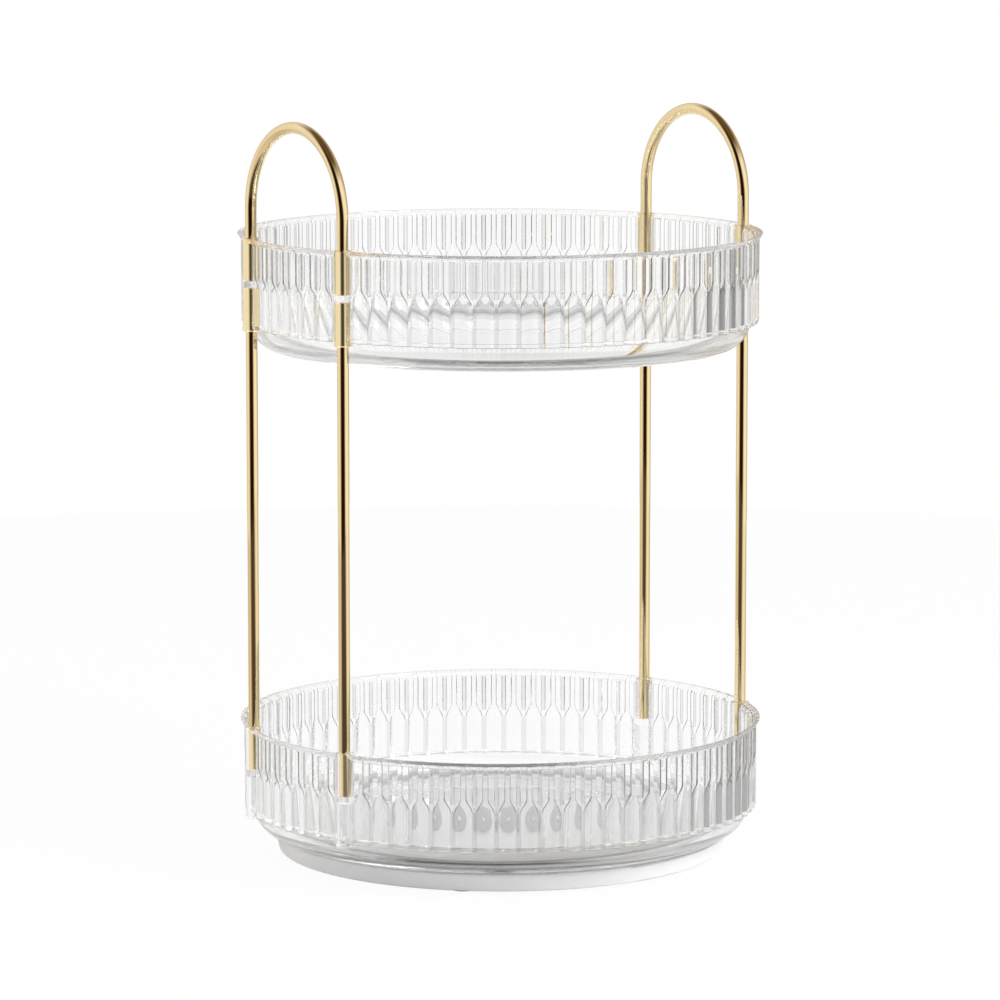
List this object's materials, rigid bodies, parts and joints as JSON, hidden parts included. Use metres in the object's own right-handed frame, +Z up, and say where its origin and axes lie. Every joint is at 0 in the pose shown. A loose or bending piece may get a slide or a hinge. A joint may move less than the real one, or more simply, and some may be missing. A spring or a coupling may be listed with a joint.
{
  "type": "rotating makeup organizer",
  "caption": "Tiered rotating makeup organizer: round clear fluted trays joined by slim gold posts, with arched gold handles, turning on a low white base.",
  "frame": {"origin": "centre of the footprint, on the table under the feet", "axes": "+Z up along the turning axis, X through the middles of the two handles"},
  "size_m": [0.23, 0.23, 0.3263],
  "materials": {
    "clear_plastic": "clear, polished",
    "gold": "polished gold plating",
    "white_plastic": "satin gloss",
    "cage_plastic": "moulded",
    "steel": "bright",
    "rubber": "matt"
  },
  "bodies": {
    "base": {"turntable_base": "white_plastic", "rubber_foot_1": "rubber", "rubber_foot_2": "rubber", "rubber_foot_3": "rubber", "rubber_foot_4": "rubber"},
    "carousel": {"lower_tray": "clear_plastic", "upper_tray": "clear_plastic", "post_front_right": "gold", "post_back_right": "gold", "post_back_left": "gold", "post_front_left": "gold", "handle_right": "gold", "handle_left": "gold", "pivot_washer": "steel", "pivot_screw": "steel"},
    "bearing": {"ball_cage": "cage_plastic", "bearing_balls": "steel"}
  },
  "joints": [
    {"name": "tray_spin", "type": "hinge", "parent": "base", "child": "carousel", "pos_m": [0, 0, 0.0096], "axis": [0, 0, 1], "continuous": true},
    {"name": "cage_spin", "type": "hinge", "parent": "base", "child": "bearing", "pos_m": [0, 0, 0.0075], "axis": [0, 0, 1], "continuous": true}
  ],
  "couplings": [
    {"joint": "cage_spin", "follows": "tray_spin", "ratio": 0.5}
  ]
}
